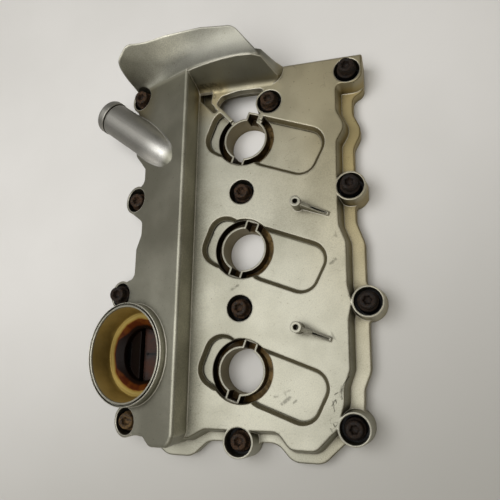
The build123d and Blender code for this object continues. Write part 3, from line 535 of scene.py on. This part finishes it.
def rusted_steel(bolts):
    """Phosphated bolt steel that has rusted: near black, with a dull brown bloom."""
    material, tree, shader = new_material("rusted_phosphated_steel")
    place = node(tree, "ShaderNodeTexCoord").outputs["Object"]
    bloom = grain(tree, place, 3.2, 5, 0.65)
    fleck = grain(tree, place, 0.7, 3, 0.6)
    # the right-hand bolts are nearly black, those on the left and in the middle browner,
    # each a little apart
    x = node(tree, "ShaderNodeSeparateXYZ", None, i0=place).outputs[0]
    share = both(tree, fade(tree, x, 60, 10, 0.3, 1.0),
                 step(tree, grain(tree, place, 70, 0), 0.35, 0.6, 0.35, 1.0))
    rust = both(tree, step(tree, bloom, 0.38, 0.62), share)
    colour = paint(tree, rust, linear(bolts.steel), linear(bolts.rust))
    tan = step(tree, marks(tree, flattened(tree, place), RUSTY_BOLTS, 11), 0.0, 0.4)
    flecks = both(tree, step(tree, fleck, 0.5, 0.66, 0.0, 0.8), either(tree, share, tan))
    colour = paint(tree, flecks, colour, linear("#5c4730"))
    crust = both(tree, tan, step(tree, bloom, 0.42, 0.6, 0.1, 0.75))
    colour = paint(tree, crust, colour, linear("#6b5433"))
    bump = node(tree, "ShaderNodeBump", None, Strength=0.5, Distance=0.15 * MM, Height=fleck)
    shader.inputs["Metallic"].default_value = 0.1
    shader.inputs["Specular IOR Level"].default_value = 0.22
    finish_shader(tree, shader, colour, step(tree, bloom, 0.3, 0.7, 0.55, 0.85), bump)
    return material


def moulded_rubber(name, colour_hex, dust_hex):
    """Moulded nitrile rubber: black, matt, with a trace of dust in its skin."""
    material, tree, shader = new_material(name)
    place = node(tree, "ShaderNodeTexCoord").outputs["Object"]
    cloud = grain(tree, place, 5, 3)
    dust = step(tree, cloud, 0.5, 0.75, 0.0, 0.5)
    colour = paint(tree, dust, linear(colour_hex), linear(dust_hex))
    bump = node(tree, "ShaderNodeBump", None, Strength=0.25, Distance=0.05 * MM,
                Height=grain(tree, place, 0.5, 2))
    shader.inputs["Specular IOR Level"].default_value = 0.25
    finish_shader(tree, shader, colour, step(tree, cloud, 0.3, 0.7, 0.5, 0.68), bump)
    return material


def oiled_sheet():
    """Pressed steel sheet under years of hot oil: varnish brown to black, half glossy."""
    material, tree, shader = new_material("oil_varnished_sheet_steel")
    place = node(tree, "ShaderNodeTexCoord").outputs["Object"]
    cloud = grain(tree, place, 11, 4, 0.6)
    colour = paint(tree, step(tree, cloud, 0.35, 0.65), linear("#1d100a"), linear("#3c2115"))
    # painted shade: the slot is drawn black
    slot_shade = marks(tree, flattened(tree, place), [BAFFLE_SLOT], 1.4)
    colour = paint(tree, slot_shade, colour, linear("#030202"))
    bump = node(tree, "ShaderNodeBump", None, Strength=0.3, Distance=0.1 * MM,
                Height=grain(tree, place, 1.5, 3))
    shader.inputs["Metallic"].default_value = 0.1
    shader.inputs["Specular IOR Level"].default_value = 0.2
    finish_shader(tree, shader, colour, step(tree, cloud, 0.3, 0.7, 0.45, 0.65), bump)
    return material


def plated_steel(name, colour_hex, roughness_low, roughness_high):
    """Zinc-plated turned steel: grey, satin, with faint stains."""
    material, tree, shader = new_material(name)
    place = node(tree, "ShaderNodeTexCoord").outputs["Object"]
    cloud = grain(tree, place, 2.4, 4)
    stains = step(tree, cloud, 0.45, 0.7, 0.0, 0.7)
    colour = paint(tree, stains, linear(colour_hex), linear("#4a4238"))
    bump = node(tree, "ShaderNodeBump", None, Strength=0.2, Distance=0.05 * MM,
                Height=grain(tree, place, 0.6, 2))
    shader.inputs["Metallic"].default_value = 1.0
    rough = step(tree, cloud, 0.3, 0.7, roughness_low, roughness_high)
    finish_shader(tree, shader, colour, rough, bump)
    return material


def white_board(stage):
    """Matt white table board: off-white with a hardly visible mottle, a painted shadow toward the
    near right and a painted shade spot under the filler.
    """
    material, tree, shader = new_material("matt_white_board")
    place = node(tree, "ShaderNodeTexCoord").outputs["Object"]
    mottle = step(tree, grain(tree, place, 120, 3), 0.3, 0.7, 0.0, 0.15)
    colour = paint(tree, mottle, linear(stage.board), linear("#bdbbb5"))
    # painted shadow: the board greys toward the near right corner
    corner = step(tree, along_way(tree, place, (0.32, -0.85, 0)), -0.11, 0.26)
    colour = paint(tree, corner, colour, linear(stage.board_shadow))
    # painted shade: a black spot on the board under the filler
    painted_shade_spot = step(tree, marks(tree, place, [SHADE_SPOT], 5.0), 0.0, 0.3)
    colour = paint(tree, painted_shade_spot, colour, linear("#0c0806"))
    tree.links.new(colour, shader.inputs["Base Color"])
    shader.inputs["Roughness"].default_value = 0.7
    shader.inputs["Specular IOR Level"].default_value = 0.25
    return material


def studio_world(stage):
    """Even light of a plain room: neutral on the left, dim and olive at the lower right, with a
    pale band along the horizon."""
    world = bpy.data.worlds.new("studio")
    world.use_nodes = True
    tree = world.node_tree
    way = node(tree, "ShaderNodeTexCoord").outputs["Generated"]
    side = step(tree, along_way(tree, way, (0.8, -0.55, -0.1)), -0.7, 0.5)
    colour = paint(tree, side, linear(stage.sky_left), linear(stage.sky_right))
    height = node(tree, "ShaderNodeSeparateXYZ", None, i0=way).outputs[2]
    band = step(tree, height, 0.25, 0.19)
    light = tree.nodes["Background"]
    colour = paint(tree, band, colour, linear(stage.backdrop))
    level = step(tree, band, 0.0, 1.0, stage.sky_level, stage.backdrop_level)
    tree.links.new(colour, light.inputs["Color"])
    tree.links.new(level, light.inputs["Strength"])
    return world


# ---------------------------------------------------------------- settings
def tone_setting(name, description, default):
    """A setting that holds an sRGB hex colour."""
    return bpy.props.StringProperty(name=name, description=description, default=default)


def length_setting(name, description, default_mm, least_mm):
    """A setting that holds a length."""
    return bpy.props.FloatProperty(name=name, description=description, default=default_mm * MM,
                                   min=least_mm * MM, unit="LENGTH", subtype="DISTANCE")


def power_setting(name, description, default):
    """A setting that holds a lamp's power in watts."""
    return bpy.props.FloatProperty(name=name, description=description, default=default, min=0.0,
                                   unit="POWER")


def level_setting(name, description, default):
    """A setting that holds a strength of light."""
    return bpy.props.FloatProperty(name=name, description=description, default=default, min=0.0)


class CastSettings(bpy.types.PropertyGroup):
    skin_light: tone_setting("Light skin", "Paler tone of the cast skin", "#a7a597")
    skin_dark: tone_setting("Dark skin", "Darker tone of the cast skin", "#949284")
    varnish: tone_setting("Varnish", "Baked oil in the moats of the wells", "#2a1d0a")
    pipe: tone_setting("Pipe", "Tone of the turned breather pipe", "#918f8b")
    scratch: tone_setting("Scratch", "Dark tone of the scratches and smudges", "#2a271c")
    # tone of the painted shade and oil grime in the corners
    shade_and_grime: tone_setting("Grime", "Oil film left in the corners", "#3a3320")
    oil_light: tone_setting("Oil stain", "Thin oil stain near the cup's rim", "#93804f")


class BoltSettings(bpy.types.PropertyGroup):
    head_radius: length_setting("Head radius", "Radius of a bolt head", 5.8, 1)
    head_height: length_setting("Head height", "Height of a bolt head above its flange", 6.5, 1)
    socket_radius: length_setting("Socket radius", "Mean radius of the six-lobed socket", 2.9, 0.5)
    turn_seed: bpy.props.IntProperty(
        name="Turn seed", description="Seed of the bolts' turn about their axes", default=7)
    steel: tone_setting("Steel", "Dark tone of the bolt steel", "#0f0c0b")
    rust: tone_setting("Rust", "Tone of the rust bloom", "#3a281b")


class StageSettings(bpy.types.PropertyGroup):
    board: tone_setting("Board", "Tone of the board under the cover", "#e3e1de")
    # tone of the painted shadow at the board's near right
    board_shadow: tone_setting("Grey corner", "Tone of the board at the near right", "#a6a49e")
    backdrop: tone_setting("Backdrop", "Plain tone seen behind the board", "#cfcdc8")
    lamp_power: power_setting("Lamp power", "Power of the overhead soft box in watts", 7.6)
    fill_power: power_setting("Fill power", "Power of the soft box at the upper left in watts", 2.4)
    sky_level: level_setting("Sky level", "Strength of the even light all round", 0.25)
    backdrop_level: level_setting(
        "Backdrop level", "Strength of the pale band along the horizon", 0.8)
    sky_left: tone_setting("Left light", "Tone of the even light from the left", "#c6c4c0")
    sky_right: tone_setting(
        "Right light", "Tone of the even light from the lower right", "#b3a472")


# ---------------------------------------------------------------- operators
class COVER_OT_casting(bpy.types.Operator):
    """Gives the cast cover its metal"""
    bl_idname = "cover.casting"
    bl_label = "Cast cover"

    def execute(self, context):
        dress("cover_casting", cast_aluminium(context.scene.cover_cast))
        return {"FINISHED"}


class COVER_OT_seals(bpy.types.Operator):
    """Gives the gasket and the well seals their rubber"""
    bl_idname = "cover.seals"
    bl_label = "Gasket and seals"

    def execute(self, context):
        rubber = moulded_rubber("nitrile_gasket_rubber", "#171313", "#2a2220")
        for name in ("perimeter_gasket", "well_seal_1", "well_seal_2", "well_seal_3"):
            dress(name, rubber)
        return {"FINISHED"}


class COVER_OT_baffle(bpy.types.Operator):
    """Gives the oil baffle and its screws their steel"""
    bl_idname = "cover.baffle"
    bl_label = "Oil baffle"

    def execute(self, context):
        dress("baffle_plate", oiled_sheet())
        dress("baffle_screws", plated_steel("zinc_plated_screw_steel", "#8d8a82", 0.3, 0.5))
        return {"FINISHED"}


def bolt_rings(bolts):
    """Rings of a bolt, from the socket's floor out and down: radius, height, share of lobes."""
    head, socket = bolts.head_radius, bolts.socket_radius
    flange, flange_height, shank, tip, deep = 7.4 * MM, 1.4 * MM, 3.0 * MM, 12.0 * MM, 3.6 * MM
    base = -bolts.head_height - flange_height
    return [
        (socket * 0.45, -deep, 1), (socket * 0.94, -deep + 0.5 * MM, 1), (socket, -0.35 * MM, 1),
        (socket + 0.35 * MM, -0.02 * MM, 0.8), (socket + 1.0 * MM, 0, 0),
        (head - 0.9 * MM, 0, 0), (head - 0.25 * MM, -0.25 * MM, 0), (head, -0.9 * MM, 0),
        (head, base + flange_height + 0.5 * MM, 0), (head + 0.4 * MM, base + flange_height, 0),
        (flange - 0.4 * MM, base + flange_height - 0.3 * MM, 0), (flange, base + 0.6 * MM, 0),
        (flange - 0.2 * MM, base, 0), (shank, base, 0), (shank, base - tip + 0.6 * MM, 0),
        (shank - 0.6 * MM, base - tip, 0)]


def bolt_mesh(bolts):
    """One bolt: flange, tall round head and a six-lobed socket, its head's top at the origin."""
    sides, lobes, lobe_depth = 48, 6, 0.34 * MM
    shape = bmesh.new()
    loops = []
    for radius, z, share in bolt_rings(bolts):
        loop = []
        for i in range(sides):
            angle = 2 * math.pi * i / sides
            reach = radius + share * lobe_depth * math.cos(lobes * angle)
            loop.append(shape.verts.new((reach * math.cos(angle), reach * math.sin(angle), z)))
        loops.append(loop)
    for inner, outer in zip(loops, loops[1:]):
        for i in range(sides):
            j = (i + 1) % sides
            shape.faces.new((inner[i], outer[i], outer[j], inner[j]))
    shape.faces.new(loops[0])
    shape.faces.new(list(reversed(loops[-1])))
    bmesh.ops.recalc_face_normals(shape, faces=shape.faces)
    mesh = bpy.data.meshes.new("bolt")
    shape.to_mesh(mesh)
    shape.free()
    mesh.polygons.foreach_set("use_smooth", [True] * len(mesh.polygons))
    return mesh


def bolt_tree():
    """Sets the bolt on every point, each turned by chance about its axis."""
    tree = bpy.data.node_groups.new("bolt_row", "GeometryNodeTree")
    face = tree.interface
    face.new_socket("Geometry", in_out="INPUT", socket_type="NodeSocketGeometry")
    for name, kind in (("Bolt", "Object"), ("Material", "Material"), ("Seed", "Int")):
        face.new_socket(name, in_out="INPUT", socket_type="NodeSocket" + kind)
    face.new_socket("Geometry", in_out="OUTPUT", socket_type="NodeSocketGeometry")
    given = tree.nodes.new("NodeGroupInput").outputs
    shape = node(tree, "GeometryNodeObjectInfo", None, Object=given["Bolt"])
    turn = node(tree, "FunctionNodeRandomValue", {"data_type": "FLOAT"}, Seed=given["Seed"])
    # a sixth of a turn covers all the places of a six-lobed socket
    least, most = [s for s in turn.inputs if s.type == "VALUE"][:2]
    least.default_value, most.default_value = 0.0, math.pi / 3
    value = [s for s in turn.outputs if s.type == "VALUE"][0]
    spin = node(tree, "ShaderNodeCombineXYZ", None, Z=value)
    spun = node(tree, "FunctionNodeEulerToRotation", None, Euler=spin.outputs[0])
    placed = node(tree, "GeometryNodeInstanceOnPoints", None, Points=given["Geometry"],
                  Instance=shape.outputs["Geometry"], Rotation=spun.outputs[0])
    whole = node(tree, "GeometryNodeRealizeInstances", None, Geometry=placed.outputs[0])
    painted = node(tree, "GeometryNodeSetMaterial", None, Geometry=whole.outputs[0],
                   Material=given["Material"])
    ending = tree.nodes.new("NodeGroupOutput")
    tree.links.new(painted.outputs[0], ending.inputs[0])
    return tree


class COVER_OT_bolts(bpy.types.Operator):
    """Sets the twelve captive bolts, with their rubber grommets and sleeves"""
    bl_idname = "cover.bolts"
    bl_label = "Bolts and grommets"

    def execute(self, context):
        bolts = context.scene.cover_bolts
        steel = rusted_steel(bolts)
        pattern = bpy.data.objects.new("bolt_pattern", bolt_mesh(bolts))
        context.scene.collection.objects.link(pattern)
        points = bpy.data.meshes.new("bolt_points")
        points.from_pydata([[v * MM for v in place] for place in BOLT_PLACES], [], [])
        carrier = bpy.data.objects.new("bolt_carrier", points)
        context.scene.collection.objects.link(carrier)
        tree = bolt_tree()
        modifier = carrier.modifiers.new("bolts", "NODES")
        modifier.node_group = tree
        keys = {s.name: s.identifier for s in tree.interface.items_tree if s.in_out == "INPUT"}
        modifier[keys["Bolt"]] = pattern
        modifier[keys["Material"]] = steel
        modifier[keys["Seed"]] = bolts.turn_seed
        context.view_layer.update()
        evaluated = carrier.evaluated_get(context.evaluated_depsgraph_get())
        mesh = bpy.data.meshes.new_from_object(evaluated)
        carrier.modifiers.remove(modifier)
        bpy.data.objects.remove(carrier)
        bpy.data.objects.remove(pattern)
        bpy.data.node_groups.remove(tree)
        if len(mesh.polygons) < len(BOLT_PLACES):
            raise RuntimeError("the bolts were not made")
        piece = bpy.data.objects.new("captive_bolts", mesh)
        context.scene.collection.objects.link(piece)
        finish_piece(piece, steel)
        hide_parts("cover_bolts")
        dress("bolt_grommets", moulded_rubber("nitrile_grommet_rubber", "#0b0a0a", "#1c1917"))
        dress("bolt_sleeves", plated_steel("turned_sleeve_steel", "#6d675e", 0.35, 0.55))
        return {"FINISHED"}


class COVER_OT_stage(bpy.types.Operator):
    """Lays the board, hangs the soft lamps and sets the camera"""
    bl_idname = "cover.stage"
    bl_label = "Stage"

    def execute(self, context):
        stage = context.scene.cover_stage
        self.lay_board(context, stage)
        context.scene.world = studio_world(stage)
        self.hang_lamps(context, stage)
        self.set_camera(context)
        context.scene.view_settings.view_transform = "Standard"
        return {"FINISHED"}

    def lay_board(self, context, stage):
        shape = bmesh.new()
        bmesh.ops.create_grid(shape, x_segments=2, y_segments=2, size=BOARD_HALF)
        mesh = bpy.data.meshes.new("board")
        shape.to_mesh(mesh)
        shape.free()
        board = bpy.data.objects.new("board", mesh)
        board.data.materials.append(white_board(stage))
        context.scene.collection.objects.link(board)

    def hang_lamps(self, context, stage):
        for name, place, size, power in LAMPS:
            lamp = bpy.data.lights.new(name, "AREA")
            lamp.shape = "DISK"
            lamp.size = size
            lamp.energy = getattr(stage, power)
            holder = bpy.data.objects.new(name, lamp)
            holder.location = place
            holder.rotation_mode = "QUATERNION"
            holder.rotation_quaternion = Vector(place).to_track_quat("Z", "Y")
            context.scene.collection.objects.link(holder)

    def set_camera(self, context):
        camera = bpy.data.cameras.new("camera")
        camera.lens = CAMERA_LENS
        camera.sensor_width = CAMERA_SENSOR
        camera.clip_start = CAMERA_NEAR
        right, down, ahead = Vector(CAMERA_RIGHT), Vector(CAMERA_DOWN), Vector(CAMERA_AHEAD)
        turn = Matrix((right, -down, -ahead)).transposed()
        holder = bpy.data.objects.new("camera", camera)
        holder.matrix_world = Matrix.Translation(CAMERA_PLACE) @ turn.to_4x4()
        context.scene.collection.objects.link(holder)
        context.scene.camera = holder


class COVER_PT_panel(bpy.types.Panel):
    """Sidebar panel with every step and its settings"""
    bl_idname = "COVER_PT_panel"
    bl_label = "Valve Cover"
    bl_space_type = "VIEW_3D"
    bl_region_type = "UI"
    bl_category = "Valve Cover"

    def draw(self, context):
        for operator in OPERATORS:
            self.layout.operator(operator.bl_idname)
        for name, _ in SETTINGS:
            group = getattr(context.scene, name)
            for key in group.bl_rna.properties.keys():
                if key not in ("rna_type", "name"):
                    self.layout.prop(group, key)


OPERATORS = (COVER_OT_stage, COVER_OT_casting, COVER_OT_seals, COVER_OT_baffle, COVER_OT_bolts)
SETTINGS = (("cover_cast", CastSettings), ("cover_bolts", BoltSettings),
            ("cover_stage", StageSettings))


def register():
    for name, group in SETTINGS:
        bpy.utils.register_class(group)
        setattr(bpy.types.Scene, name, bpy.props.PointerProperty(type=group))
    for operator in OPERATORS:
        bpy.utils.register_class(operator)
    bpy.utils.register_class(COVER_PT_panel)


def unregister():
    bpy.utils.unregister_class(COVER_PT_panel)
    for operator in reversed(OPERATORS):
        bpy.utils.unregister_class(operator)
    for name, group in SETTINGS:
        delattr(bpy.types.Scene, name)
        bpy.utils.unregister_class(group)


def main():
    register()
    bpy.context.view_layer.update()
    for operator in OPERATORS:
        group, name = operator.bl_idname.split(".")
        getattr(getattr(bpy.ops, group), name)()


if __name__ == "__main__":
    main()
